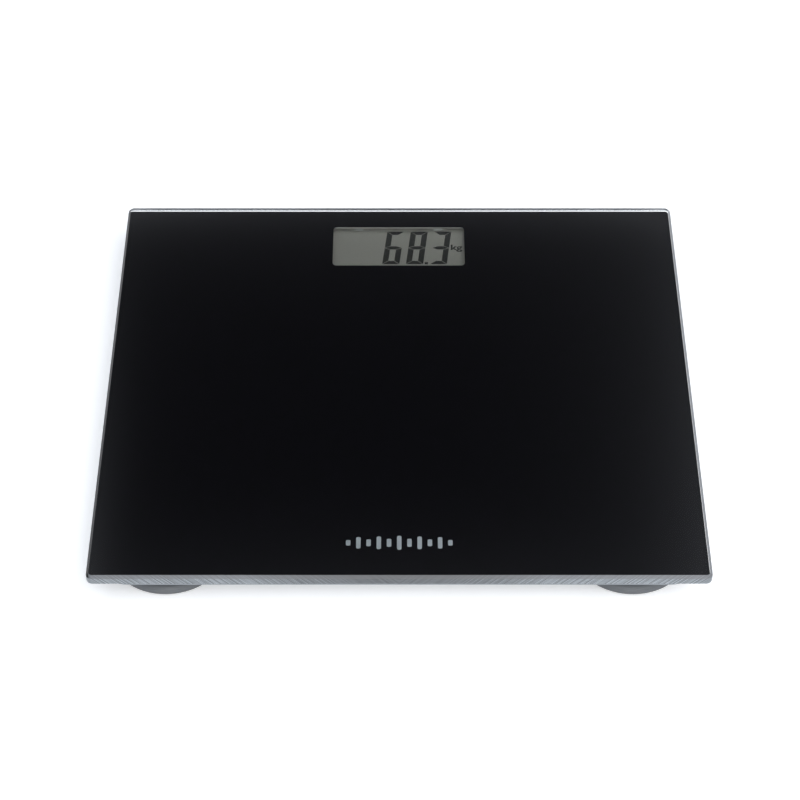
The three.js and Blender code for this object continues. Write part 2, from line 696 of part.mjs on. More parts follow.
function addUnitButton() {
  const { x, radius, edgeRound: e, holeGap, flangeReach, flangeThickness, recess, travel } = button;
  const capBottom = tray.groundClearance + recess;
  const flangeBottomZ = floorTop + slide;
  const flangeTop = flangeBottomZ + flangeThickness;
  const flangeRadius = radius + holeGap + flangeReach;
  const cap = turned([
    [0, capBottom], [radius - e, capBottom], [radius, capBottom + e], [radius, flangeBottomZ],
    [flangeRadius, flangeBottomZ], [flangeRadius, flangeTop], [0, flangeTop],
  ]);
  const switchTop = boardBottom - gap;
  const switchBottom = switchTop - keySwitch.height;
  const boreTop = switchBottom + keySwitch.stemInset;
  const stem = rod(keySwitch.stemRadius, flangeTop + gap, boreTop - travel, x, buttonY);
  const housing = box(keySwitch.size, keySwitch.size, switchBottom, switchTop, x, buttonY);
  const boreRadius = keySwitch.stemRadius + keySwitch.stemGap;
  const bore = rod(boreRadius, switchBottom - past, boreTop + slide, x, buttonY);
  addPart("unit_button", cap.translate(x, buttonY, 0), trayPlastic);
  addPart("switch_stem", stem, rubber);
  addPart("unit_switch", combine(housing, [], [bore]), epoxy);
}

// ---- Assembly ----

addPart("glass_platform", glassPlatform(), blackGlass);
addPart("bonding_tape", bondingTape(), foam);
addPart("base_tray", baseTray(), trayPlastic);
addFeet();
addLeads();
addDisplay();
addBoard();
addPart("coin_cell", coinCell(), nickel);
addContacts();
addPart("battery_door", batteryDoor(), trayPlastic);
addUnitButton();

export default scale;
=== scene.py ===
# A digital bathroom scale, finished over its CAD model: clear glass with a black print under it, a grey display,
# and a moulded tray with padded feet. Metres, +Z up, +Y towards the display.
import json
from math import cos, pi, radians, sin, tan

import bmesh
import bpy
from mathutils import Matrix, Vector


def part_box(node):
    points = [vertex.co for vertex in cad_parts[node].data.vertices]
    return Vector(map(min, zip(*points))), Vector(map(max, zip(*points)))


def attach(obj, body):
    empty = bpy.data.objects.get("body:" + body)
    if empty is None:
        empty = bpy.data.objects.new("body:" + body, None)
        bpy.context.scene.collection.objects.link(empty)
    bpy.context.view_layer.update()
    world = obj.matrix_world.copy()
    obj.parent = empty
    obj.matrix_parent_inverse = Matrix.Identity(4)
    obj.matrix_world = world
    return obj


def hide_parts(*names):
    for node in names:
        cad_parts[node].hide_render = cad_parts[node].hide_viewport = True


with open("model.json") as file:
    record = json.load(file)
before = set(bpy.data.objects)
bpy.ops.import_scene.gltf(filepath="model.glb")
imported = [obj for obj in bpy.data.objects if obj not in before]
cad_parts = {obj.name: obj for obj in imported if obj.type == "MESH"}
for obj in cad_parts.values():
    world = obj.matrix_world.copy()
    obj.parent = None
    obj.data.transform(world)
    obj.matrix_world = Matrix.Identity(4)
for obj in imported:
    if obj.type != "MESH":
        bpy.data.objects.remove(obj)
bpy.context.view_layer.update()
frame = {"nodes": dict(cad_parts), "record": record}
scene = bpy.context.scene
mm = 0.001
cornerNames = ("front_left", "front_right", "rear_left", "rear_right")
print("frame loaded:", len(frame["nodes"]), "nodes")


# Shader and geometry nodes

class Sock:
    # one output socket: sums on it add their own Math nodes
    def __init__(self, graph, socket):
        self.graph = graph
        self.socket = socket

    def maths(self, operation, *values):
        return self.graph.node("ShaderNodeMath", {"operation": operation}, dict(enumerate(values)))

    def __add__(self, other):
        return self.maths("ADD", self, other)

    def __neg__(self):
        return self.maths("MULTIPLY", self, -1)

    def __sub__(self, other):
        return self.maths("SUBTRACT", self, other)

    def __rsub__(self, other):
        return self.maths("SUBTRACT", other, self)

    def __mul__(self, other):
        return self.maths("MULTIPLY", self, other)

    def __truediv__(self, other):
        return self.maths("DIVIDE", self, other)

    def __mod__(self, other):
        return self.maths("MODULO", self, other)

    def __pow__(self, other):
        return self.maths("POWER", self, other)

    __radd__ = __add__
    __rmul__ = __mul__

    def smallest(self, other):
        return self.maths("MINIMUM", self, other)

    def largest(self, other):
        return self.maths("MAXIMUM", self, other)

    def size(self):
        return self.maths("ABSOLUTE", self)

    def clamped(self):
        return self.largest(0).smallest(1)


class Graph:
    # builds one node tree
    def __init__(self, tree):
        self.tree = tree

    def node(self, kind, settings=None, inputs=None, out=0):
        made = self.tree.nodes.new(kind)
        for name, value in (settings or {}).items():
            if name == "stops":
                self.setStops(made.color_ramp, value)
            else:
                setattr(made, name, value)
        for name, value in (inputs or {}).items():
            self.feed(value, made.inputs[name])
        return Sock(self, made.outputs[out]) if made.outputs else made

    def feed(self, value, socket):
        if isinstance(value, Sock):
            self.tree.links.new(value.socket, socket)
        else:
            socket.default_value = value

    def setStops(self, ramp, stops):
        while len(ramp.elements) < len(stops):
            ramp.elements.new(1)
        for element, (place, level) in zip(ramp.elements, stops):
            element.position = place
            element.color = (level, level, level, 1)

    def place(self, scale=(1, 1, 1)):
        # object coordinates, scaled for a pattern
        coords = self.node("ShaderNodeTexCoord", out="Object")
        return self.node("ShaderNodeMapping", None, {"Vector": coords, "Scale": scale})

    def axes(self, vector=None):
        vector = vector or self.node("ShaderNodeTexCoord", out="Object")
        split = self.tree.nodes.new("ShaderNodeSeparateXYZ")
        self.feed(vector, split.inputs[0])
        return [Sock(self, socket) for socket in split.outputs]

    def noise(self, size, detail=2, roughness=0.5, vector=None):
        # size is the width of one blotch, in metres
        return self.node("ShaderNodeTexNoise", None, {
            "Vector": vector or self.place(), "Scale": 1 / size, "Detail": detail, "Roughness": roughness})

    def ramp(self, value, *stops):
        return self.node("ShaderNodeValToRGB", {"stops": stops}, {"Fac": value})

    def blend(self, factor, first, second):
        return self.node("ShaderNodeMix", {"data_type": "RGBA"}, {
            "Factor": factor, 6: first, 7: second}, out=2)

    def bump(self, height, distance, strength=1.0):
        return self.node("ShaderNodeBump", None, {"Height": height, "Distance": distance, "Strength": strength})


def tint(red, green, blue):
    # a colour given as 0 to 255 screen values, made linear
    def linear(level):
        level = level / 255
        return level / 12.92 if level <= 0.04045 else ((level + 0.055) / 1.055) ** 2.4
    return (linear(red), linear(green), linear(blue), 1)


def material(name, build=None, **fixed):
    # fixed values sit on the shader's own sockets, and build gives the links that vary
    made = bpy.data.materials.new(name)
    made.use_nodes = True
    graph = Graph(made.node_tree)
    shader = made.node_tree.nodes["Principled BSDF"]
    for socket, value in fixed.items():
        shader.inputs[socket.replace("_", " ")].default_value = value
    for socket, value in (build(graph) if build else {}).items():
        graph.feed(value, shader.inputs[socket])
    return made


# Materials

glassLook = {
    "tint": tint(250, 251, 250),
    "edgeGrey": (tint(126, 133, 140), tint(224, 233, 240)),
    "chamferGrey": (tint(142, 145, 151), tint(170, 174, 180)),
    "middleShadeGrey": tint(66, 66, 68),  # painted shade: the ground edges and chamfers are darkened about the middle
    "middleShadeSpan": 70 * mm,
    "middleShadeShare": 0.6,
    "streakSize": 0.85 * mm,  # grinding streaks, leaning outwards on each side of the middle
    "streakSlope": 1.0,
    "streakShare": 4.2,
    "patchSize": 14 * mm,
    "patchShare": 0.6,
    "levelDrop": 1.9,  # taken off both, so that the dark shade takes its part
    "grainSize": 0.12 * mm,
    "grindDepth": 0.02 * mm,
    "leftShadeGrey": tint(22, 23, 26),  # painted shade on the left chamfer, darkened to near black
    "leftShadeStart": 143.4 * mm,
    "leftShadeFade": 0.3 * mm,
    "inkLitShades": (tint(176, 186, 190), tint(196, 204, 209)),  # the silver ink, with a painted sheen: lighter from left to right, as if lit from the right
    "inkLightSpan": 50 * mm,
    "printBlack": (tint(8, 7, 12), tint(11, 10, 15)),
}


def clearGlass(g):
    dust = g.ramp(g.noise(9 * mm, 6, 0.7), (0.5, 0), (0.75, 1))
    return {"Roughness": 0.006 + 0.035 * dust}


def groundGlass(shades, roughness, leftPaintedShade=0.0):
    def build(g):
        x, y, z = g.axes()
        along = x.size() + y.size() - z * glassLook["streakSlope"]
        streak = g.node("ShaderNodeTexNoise", {"noise_dimensions": "1D"}, {
            "W": along / glassLook["streakSize"], "Scale": 1.0, "Detail": 3.0})
        patch = g.noise(glassLook["patchSize"], 3)
        level = (streak * glassLook["streakShare"] + patch * glassLook["patchShare"] - glassLook["levelDrop"]).clamped()
        grain = g.noise(glassLook["grainSize"], 2)
        # painted shade: the edge colour is darkened towards the middle, over a given span
        middle = (1 - x * x / (glassLook["middleShadeSpan"] * glassLook["middleShadeSpan"])).largest(0)
        shade = g.blend(glassLook["middleShadeShare"] * middle, g.blend(level, *shades), glassLook["middleShadeGrey"])
        # painted shade: past the left edge of the glass, the chamfer colour is blended to a near black
        if leftPaintedShade:
            left = ((-x - glassLook["leftShadeStart"]) / glassLook["leftShadeFade"]).clamped()
            shade = g.blend(leftPaintedShade * left, shade, glassLook["leftShadeGrey"])
        return {
            "Base Color": shade,
            "Roughness": roughness + 0.2 * (grain - 0.5),
            "Normal": g.bump(streak + 0.4 * grain, glassLook["grindDepth"], 0.6),
        }
    return build


def backPrint(g):
    speck = g.noise(0.4 * mm, 3)
    return {"Base Color": g.blend(speck, *glassLook["printBlack"]), "Roughness": 0.45 + 0.2 * speck}


def silverInk(g):
    flake = g.noise(0.18 * mm, 2)
    # painted sheen: the ink's colour grows lighter towards the right over the given span
    fade = (g.axes()[0] / glassLook["inkLightSpan"] + 0.5).clamped()
    shade = g.blend(fade, *glassLook["inkLitShades"])
    return {
        "Base Color": g.blend(flake * 0.35, shade, tint(205, 212, 216)),
        "Roughness": 0.3 + 0.25 * flake,
        "Normal": g.bump(flake, 0.01 * mm, 0.5),
    }


def moulded(shades, grainSize, grainDepth, roughness):
    # spark-eroded plastic: a fine grain over a slow change of shade, rubbed smoother in patches
    def build(g):
        grain = g.noise(grainSize, 3, 0.6)
        patch = g.noise(30 * mm, 4)
        rubbed = g.ramp(g.noise(16 * mm, 5, 0.65), (0.45, 0), (0.7, 1))
        return {
            "Base Color": g.blend(patch * 0.7 + grain * 0.3, *shades),
            "Roughness": roughness + 0.14 * (grain - 0.5) - 0.1 * rubbed,
            "Normal": g.bump(grain, grainDepth, 0.6),
        }
    return build


def rubbery(g):
    grain = g.noise(0.25 * mm, 4, 0.7)
    dust = g.ramp(g.noise(6 * mm, 6, 0.7), (0.45, 0), (0.8, 1))
    shade = g.blend(grain, tint(44, 45, 47), tint(58, 59, 61))
    return {
        "Base Color": g.blend(dust * 0.35, shade, tint(112, 112, 110)),
        "Roughness": 0.8 + 0.15 * dust,
        "Normal": g.bump(grain, 0.04 * mm, 0.7),
    }


def foamy(g):
    cells = g.node("ShaderNodeTexVoronoi", None, {"Vector": g.place(), "Scale": 1 / (0.5 * mm)})
    return {
        "Base Color": g.blend(cells, tint(24, 24, 27), tint(44, 44, 48)),
        "Normal": g.bump(cells, 0.08 * mm, 0.7),
    }


def brushed(shades, roughness):
    # rolled sheet metal, with its grain along X
    def build(g):
        grain = g.noise(1, 3, 0.6, g.place(scale=(300, 9000, 9000)))
        blotch = g.noise(8 * mm, 4)
        return {
            "Base Color": g.blend(blotch, *shades),
            "Roughness": roughness + 0.2 * (grain - 0.5),
            "Normal": g.bump(grain, 0.01 * mm, 0.5),
        }
    return build


def boardMask(g):
    # solder mask over copper tracks
    cells = g.node("ShaderNodeTexVoronoi", {"feature": "F1", "distance": "MANHATTAN"}, {
        "Vector": g.place(), "Scale": 1 / (3.2 * mm)})
    track = g.ramp(cells * 6 % 1, (0.42, 0), (0.5, 1))
    weave = g.noise(0.5 * mm, 2)
    shade = g.blend(track, tint(24, 84, 44), tint(40, 112, 58))
    return {
        "Base Color": g.blend(weave * 0.3, shade, tint(60, 120, 70)),
        "Normal": g.bump(track, 0.03 * mm, 0.6),
    }


def resin(g):
    flow = g.noise(4 * mm, 4)
    return {"Base Color": g.blend(flow, tint(14, 14, 15), tint(30, 30, 32)), "Normal": g.bump(flow, 0.15 * mm, 0.4)}


def sealant(g):
    flow = g.noise(2.5 * mm, 4)
    return {
        "Base Color": g.blend(flow, tint(205, 204, 196), tint(232, 232, 226)),
        "Normal": g.bump(flow, 0.2 * mm, 0.5),
    }


def sleeve(g):
    grain = g.noise(0.3 * mm, 3)
    return {"Base Color": g.blend(grain, tint(128, 30, 28), tint(158, 44, 40)), "Normal": g.bump(grain, 0.02 * mm)}


def displayGround(g):
    # the reflector seen through the liquid crystal: grey-green, with a faint silver grain
    grain = g.noise(0.16 * mm, 2)
    drift = g.noise(35 * mm, 2)
    shade = g.blend(drift, displayPart["ground"][0], displayPart["ground"][1])
    return {
        "Base Color": g.blend(grain * 0.25, shade, displayPart["ground"][2]),
        "Roughness": 0.55 + 0.15 * grain,
    }


def displayInk(g):
    grain = g.noise(0.5 * mm, 2)
    return {"Base Color": g.blend(grain, displayPart["ink"][0], displayPart["ink"][1])}


displayPart = {
    "value": "68.3",
    "ground": (tint(196, 194, 184), tint(199, 197, 188), tint(215, 212, 203)),
    "ink": (tint(45, 45, 39), tint(53, 53, 46)),
    "windowCorner": 2.2 * mm,
    "digitLeft": -9.2 * mm,
    "digitBottom": 89.6 * mm,
    "digitWidth": 9.3 * mm,
    "digitHeight": 25.9 * mm,
    "digitPitch": 12.5 * mm,
    "uprightBar": 3.2 * mm,
    "levelBar": 2.8 * mm,
    "barGap": 0.26 * mm,
    "lean": radians(6),
    "pointSize": 1.7 * mm,
    "unit": "kg",
    "unitLeft": 27.3 * mm,
    "unitWidth": 6.0 * mm,
    "unitBottom": 99.4 * mm,
    "unitSquash": 0.88,
    "unitWeight": 0.022,
    "inkThickness": 0.02 * mm,
    "inkLift": 0.005 * mm,
    "paneCorner": 0.3 * mm,
    "clips": {"places": (-21.5 * mm, 20.5 * mm), "width": 4.6 * mm, "depth": 1.3 * mm, "height": 0.4 * mm,
              "gap": 0.02 * mm, "reach": 0.1 * mm},
}


def glassy(name, tinge, bend):
    return material(name, clearGlass, Base_Color=tinge, IOR=bend, Transmission_Weight=1.0)


def groundLook(name, shades, roughness, clear, leftPaintedShade=0.0):
    return material(name, groundGlass(shades, roughness, leftPaintedShade), IOR=1.52, Transmission_Weight=clear)


def plastic(name, dark, light, grainSize, grainDepth, roughness):
    return material(name, moulded((tint(*dark), tint(*light)), grainSize, grainDepth, roughness))


def metal(name, dark, light, roughness, purity=1.0):
    return material(name, brushed((tint(*dark), tint(*light)), roughness), Metallic=purity)


looks = {
    "clearGlass": glassy("clear_glass", glassLook["tint"], 1.52),
    "groundEdge": groundLook("ground_glass_edge", glassLook["edgeGrey"], 0.45, 0.6),
    "chamfer": groundLook("ground_glass_chamfer", glassLook["chamferGrey"], 0.32, 0.65, leftPaintedShade=1.0),
    "backPrint": material("black_back_print", backPrint, Specular_IOR_Level=0.0),
    "silverInk": material("silver_ink", silverInk, Specular_IOR_Level=0.6),
    "displayGround": material("display_reflector", displayGround, Specular_IOR_Level=0.1),
    "displayInk": material("display_segments", displayInk, Roughness=0.6, Specular_IOR_Level=0.0),
    "pane": glassy("display_pane", tint(251, 251, 249), 1.5),
    "trayPlastic": plastic("tray_plastic", (132, 137, 142), (144, 149, 154), 0.35 * mm, 0.05 * mm, 0.55),
    "footPlastic": plastic("foot_plastic", (92, 95, 98), (102, 105, 108), 0.3 * mm, 0.04 * mm, 0.5),
    "innerPlastic": plastic("natural_plastic", (196, 197, 193), (214, 215, 211), 0.5 * mm, 0.03 * mm, 0.45),
    "framePlastic": plastic("white_plastic", (232, 233, 228), (240, 241, 237), 0.5 * mm, 0.03 * mm, 0.4),
    "rubber": material("rubber", rubbery),
    "foam": material("foam_tape", foamy, Roughness=0.95),
    "steel": metal("rolled_steel", (168, 170, 174), (190, 192, 196), 0.32),
    "nickel": metal("nickel_plate", (196, 193, 184), (214, 211, 203), 0.22),
    "board": material("solder_mask", boardMask, Roughness=0.35),
    "epoxy": material("cured_resin", resin, Roughness=0.25),
    "silicone": material("silicone_sealant", sealant, Roughness=0.4),
    "plateFoil": metal("plate_foil", (186, 188, 190), (204, 206, 208), 0.38, 0.6),
    "wire": material("wire_sleeve", sleeve, Roughness=0.45),
}
print("materials made:", len(looks))


# Meshes

mergeDistance = 1e-7
smoothUnder = radians(35)


def rectangleLoop(width, depth, radius, z, centre=(0, 0), steps=10):
    # a round-cornered rectangle, anticlockwise
    loop = []
    for turn, (sideX, sideY) in enumerate(((1, 1), (-1, 1), (-1, -1), (1, -1))):
        cornerX = centre[0] + sideX * (width / 2 - radius)
        cornerY = centre[1] + sideY * (depth / 2 - radius)
        for step in range(steps + 1):
            angle = (turn + step / steps) * pi / 2
            loop.append((cornerX + radius * cos(angle), cornerY + radius * sin(angle), z))
    return loop


def addLoops(bm, loops, slots, closeStart=None, closeEnd=None):
    # joins loops of equal length in order, and closes the ends that are given a slot
    rings = [[bm.verts.new(point) for point in loop] for loop in loops]
    for slot, (first, second) in zip(slots, zip(rings, rings[1:])):
        for i in range(len(first)):
            j = (i + 1) % len(first)
            bm.faces.new((first[i], first[j], second[j], second[i])).material_index = slot
    if closeStart is not None:
        bm.faces.new(rings[0][::-1]).material_index = closeStart
    if closeEnd is not None:
        bm.faces.new(rings[-1]).material_index = closeEnd
    return rings


def turnedLoops(profile, centre, steps=96):
    # circles of (radius, height) pairs about a vertical axis
    return [[(centre[0] + radius * cos(2 * pi * i / steps), centre[1] + radius * sin(2 * pi * i / steps), height)
             for i in range(steps)] for radius, height in profile]


def finishMesh(name, bm, materials):
    bmesh.ops.remove_doubles(bm, verts=bm.verts, dist=mergeDistance)
    bmesh.ops.recalc_face_normals(bm, faces=bm.faces)
    mesh = bpy.data.meshes.new(name)
    bm.to_mesh(mesh)
    bm.free()
    for each in materials:
        mesh.materials.append(looks[each])
    mesh.set_sharp_from_angle(angle=smoothUnder)
    piece = bpy.data.objects.new(name, mesh)
    scene.collection.objects.link(piece)
    return piece


def applyModifiers(piece, broadShare=0.02):
    # keeps the finished mesh; its broad faces stay flat, so that they mirror truly
    graph = bpy.context.evaluated_depsgraph_get()
    mesh = bpy.data.meshes.new_from_object(piece.evaluated_get(graph))
    piece.modifiers.clear()
    piece.data = mesh
    broad = broadShare * max(face.area for face in mesh.polygons)
    mesh.set_sharp_from_angle(angle=smoothUnder)
    mesh.polygons.foreach_set("use_smooth", [face.area < broad for face in mesh.polygons])
    return piece


def softenEdges(piece, width):
    bevel = piece.modifiers.new("soften", "BEVEL")
    bevel.width = width
    bevel.segments = 2
    bevel.limit_method = "ANGLE"
    bevel.angle_limit = radians(40)  # over the 30 degrees of the coarsest round corner
    bevel.use_clamp_overlap = True
    return applyModifiers(piece)


def settle(piece, body, slot, *nodes):
    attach(piece, body)
    if nodes:
        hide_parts(*nodes)
    return piece


# Glass platform

glassLow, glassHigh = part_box("glass_platform")
glassSize = glassHigh - glassLow
gasketLow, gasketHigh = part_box("display_gasket")
windowSize = Vector((69.4 * mm, 30.1 * mm))
windowShift = Vector((-0.3 * mm, -0.6 * mm, 0))
windowCentre = ((gasketLow + gasketHigh) / 2 + windowShift).to_2d()

glassPart = {
    "corner": 3 * mm, "printCorner": 1.8 * mm, "chamfer": 1.3 * mm, "arris": 0.3 * mm, "edgeRound": 0.12 * mm,
    "printGaps": (0.3 * mm, 0.98 * mm, 0.7 * mm, 1.2 * mm),  # clear glass left, right, in front and behind
}


def glassPlate():
    corner, chamfer, arris = glassPart["corner"], glassPart["chamfer"], glassPart["arris"]
    low, high = glassLow.z, glassHigh.z

    def outline(inset, z):
        return rectangleLoop(glassSize.x - 2 * inset, glassSize.y - 2 * inset, corner - inset, z)

    window = rectangleLoop(windowSize.x, windowSize.y, displayPart["windowCorner"], low, windowCentre)
    left, right, front, back = glassPart["printGaps"]
    black = rectangleLoop(glassSize.x - left - right, glassSize.y - front - back, glassPart["printCorner"], low,
                          ((left - right) / 2, (front - back) / 2))
    bm = bmesh.new()
    addLoops(
        bm,
        [window, black, outline(arris, low), outline(0, low + arris),
         outline(0, high - chamfer), outline(chamfer, high)],
        [3, 0, 1, 1, 2],
        closeStart=0, closeEnd=0,
    )
    plate = finishMesh("glass_plate", bm, ["clearGlass", "groundEdge", "chamfer", "backPrint"])
    softenEdges(plate, glassPart["edgeRound"])
    return settle(plate, "platform", "dark_glass", "glass_platform")


glassPlate()
print("glass made")


# Silver emblem on the print: a dial's graduations, long at the middle

emblemPart = {"width": 50 * mm, "height": 8.6 * mm, "centreY": -106.6 * mm, "bars": 11, "bar": 2.1 * mm,
              "thickness": 0.02 * mm, "lift": 0.01 * mm,
              "shorter": 0.38,  # taken off every second bar, as a share of the height
              "taper": 0.045,  # taken off for each step from the middle
              "rounding": 0.42}


def geometryTree(name, sizes):
    # a Geometry Nodes tree with one named input for each size
    tree = bpy.data.node_groups.new(name, "GeometryNodeTree")
    tree.interface.new_socket("Geometry", in_out="INPUT", socket_type="NodeSocketGeometry")
    tree.interface.new_socket("Geometry", in_out="OUTPUT", socket_type="NodeSocketGeometry")
    for size, value in sizes.items():
        kind = "NodeSocketInt" if isinstance(value, int) else "NodeSocketFloat"
        tree.interface.new_socket(size, in_out="INPUT", socket_type=kind)
    graph = Graph(tree)
    entry = tree.nodes.new("NodeGroupInput")
    return graph, {size: Sock(graph, entry.outputs[size]) for size in sizes}


def growPiece(name, graph, sizes, result, look, rounding=0):
    # ends the tree, runs it on an empty piece, and keeps the mesh closed and facing outwards
    solid = graph.node("GeometryNodeRealizeInstances", None, {0: result})
    dressed = graph.node("GeometryNodeSetMaterial", None, {0: solid, "Material": looks[look]})
    exitNode = graph.tree.nodes.new("NodeGroupOutput")
    graph.feed(dressed, exitNode.inputs[0])
    piece = bpy.data.objects.new(name, bpy.data.meshes.new(name))
    scene.collection.objects.link(piece)
    modifier = piece.modifiers.new("grow", "NODES")
    modifier.node_group = graph.tree
    for item in graph.tree.interface.items_tree:
        if item.item_type == "SOCKET" and item.in_out == "INPUT" and item.name in sizes:
            modifier[item.identifier] = sizes[item.name]
    applyModifiers(piece)
    bm = bmesh.new()
    bm.from_mesh(piece.data)
    bmesh.ops.remove_doubles(bm, verts=bm.verts, dist=mergeDistance)
    bmesh.ops.holes_fill(bm, edges=[edge for edge in bm.edges if edge.is_boundary])
    bmesh.ops.recalc_face_normals(bm, faces=bm.faces)
    bm.to_mesh(piece.data)
    bm.free()
    return softenEdges(piece, rounding) if rounding else piece


def vector(graph, x=0.0, y=0.0, z=0.0):
    return graph.node("ShaderNodeCombineXYZ", None, {0: x, 1: y, 2: z})


def roundBar(graph, width, depth, height, radius):
    # a bar with round ends, drawn in plan and raised to its height
    outline = graph.node("GeometryNodeCurvePrimitiveQuadrilateral", None, {"Width": width, "Height": depth})
    rounded = graph.node("GeometryNodeFilletCurve", {"mode": "POLY"}, {0: outline, "Radius": radius, "Count": 5})
    face = graph.node("GeometryNodeFillCurve", {"mode": "NGONS"}, {0: rounded})
    return graph.node("GeometryNodeExtrudeMesh", None, {0: face, "Offset Scale": height})


def barRow(name, look, part, rounding=0):
    # a row of equal round-ended bars, stepped along X or Y
    sizes = {
        "Width": part["width"], "Depth": part["depth"], "Height": part["height"], "Radius": part["radius"],
        "Bars": part["bars"], "StepX": part["step"][0], "StepY": part["step"][1],
        "FirstX": part["first"][0], "FirstY": part["first"][1], "Level": part["level"],
    }
    graph, size = geometryTree(name + "_row", sizes)
    line = graph.node("GeometryNodeMeshLine", None, {
        "Count": size["Bars"], "Start Location": vector(graph, size["FirstX"], size["FirstY"], size["Level"]),
        "Offset": vector(graph, size["StepX"], size["StepY"])})
    bar = roundBar(graph, size["Width"], size["Depth"], size["Height"], size["Radius"])
    bars = graph.node("GeometryNodeInstanceOnPoints", None, {"Points": line, "Instance": bar})
    return growPiece(name, graph, sizes, bars, look, rounding)


def studRing(name, look, part):
    # round studs spaced evenly about a centre
    sizes = {
        "Ring": part["ring"], "Stud": part["stud"], "Height": part["height"], "Studs": part["studs"],
        "CentreX": part["centre"][0], "CentreY": part["centre"][1], "Level": part["level"],
    }
    graph, size = geometryTree(name + "_ring", sizes)
    ring = graph.node("GeometryNodeMeshCircle", {"fill_type": "NONE"}, {
        "Vertices": size["Studs"], "Radius": size["Ring"]})
    moved = graph.node("GeometryNodeSetPosition", None, {
        "Geometry": ring, "Offset": vector(graph, size["CentreX"], size["CentreY"], size["Level"])})
    disc = graph.node("GeometryNodeMeshCircle", {"fill_type": "NGON"}, {"Vertices": 12, "Radius": size["Stud"]})
    stud = graph.node("GeometryNodeExtrudeMesh", None, {0: disc, "Offset Scale": size["Height"]})
    studs = graph.node("GeometryNodeInstanceOnPoints", None, {"Points": moved, "Instance": stud})
    return growPiece(name, graph, sizes, studs, look)


def emblem():
    sizes = {
        "Width": emblemPart["width"], "Height": emblemPart["height"], "Bars": emblemPart["bars"],
        "Bar": emblemPart["bar"], "Thickness": emblemPart["thickness"], "Shorter": emblemPart["shorter"],
        "Taper": emblemPart["taper"], "Rounding": emblemPart["rounding"],
        "CentreY": emblemPart["centreY"], "Level": glassLow.z + emblemPart["lift"],
    }
    graph, size = geometryTree("dial_graduations", sizes)
    step = (size["Width"] - size["Bar"]) / (size["Bars"] - 1)
    first = vector(graph, (size["Bar"] - size["Width"]) / 2, size["CentreY"], size["Level"])
    line = graph.node("GeometryNodeMeshLine", None, {
        "Count": size["Bars"], "Start Location": first, "Offset": vector(graph, step)})
    index = graph.node("GeometryNodeInputIndex")
    fromMiddle = (index - (size["Bars"] - 1) / 2).size()
    height = 1 - size["Shorter"] * (fromMiddle % 2) - size["Taper"] * fromMiddle
    bar = roundBar(graph, size["Bar"], size["Height"], size["Thickness"], size["Bar"] * size["Rounding"])
    bars = graph.node("GeometryNodeInstanceOnPoints", None, {
        "Points": line, "Instance": bar, "Scale": vector(graph, 1.0, height, 1.0)})
    return settle(growPiece("dial_emblem", graph, sizes, bars, "silverInk"), "platform", "steel")


emblem()
print("emblem made")


# Display

def insetPolygon(points, distance):
    # moves every side of a convex, anticlockwise polygon inwards
    lines = []
    for start, end in zip(points, points[1:] + points[:1]):
        along = Vector((end[0] - start[0], end[1] - start[1])).normalized()
        inward = Vector((-along.y, along.x))
        lines.append((Vector(start) + inward * distance, along))
    moved = []
    for (p, u), (q, v) in zip(lines[-1:] + lines[:-1], lines):
        reach = ((q - p).x * v.y - (q - p).y * v.x) / (u.x * v.y - u.y * v.x)
        moved.append(p + u * reach)
    return moved


def digitBars():
    # the seven bars of one digit, by letter, with mitred ends
    w, h = displayPart["digitWidth"], displayPart["digitHeight"]
    v, t = displayPart["uprightBar"], displayPart["levelBar"]
    m = h / 2
    left = {
        "e": [(0, 0), (v, t), (v, m - t / 2), (0, m)],
        "f": [(0, m), (v, m + t / 2), (v, h - t), (0, h)],
    }
    right = {
        "c": [(w, 0), (w, m), (w - v, m - t / 2), (w - v, t)],
        "b": [(w, m), (w, h), (w - v, h - t), (w - v, m + t / 2)],
    }
    level = {
        "a": [(0, h), (v, h - t), (w - v, h - t), (w, h)],
        "d": [(0, 0), (w, 0), (w - v, t), (v, t)],
        "g": [(0, m), (v, m - t / 2), (w - v, m - t / 2), (w, m), (w - v, m + t / 2), (v, m + t / 2)],
    }
    return {**left, **right, **level}


litBars = {"3": "abcdg", "6": "acdefg", "8": "abcdefg"}


def addPrism(bm, outline, low, high):
    addLoops(bm, [[(x, y, low) for x, y in outline], [(x, y, high) for x, y in outline]], [0],
             closeStart=0, closeEnd=0)


def displayDigits(low):
    part = displayPart
    high = low + part["inkThickness"]
    bars = digitBars()
    bm = bmesh.new()
    place = 0
    for sign in part["value"]:
        left = part["digitLeft"] + place * part["digitPitch"]
        if sign == ".":
            middle = left - (part["digitPitch"] - part["digitWidth"]) / 2
            half = part["pointSize"] / 2
            base = part["digitBottom"]
            square = [(middle - half, base), (middle + half, base), (middle + half, base + 2 * half),
                      (middle - half, base + 2 * half)]
            addPrism(bm, square, low, high)
            continue
        for letter in litBars[sign]:
            outline = insetPolygon(bars[letter], part["barGap"] / 2)
            leaned = [(left + x + y * tan(part["lean"]), part["digitBottom"] + y) for x, y in outline]
            addPrism(bm, leaned, low, high)
        place += 1
    return finishMesh("display_digits", bm, ["displayInk"])


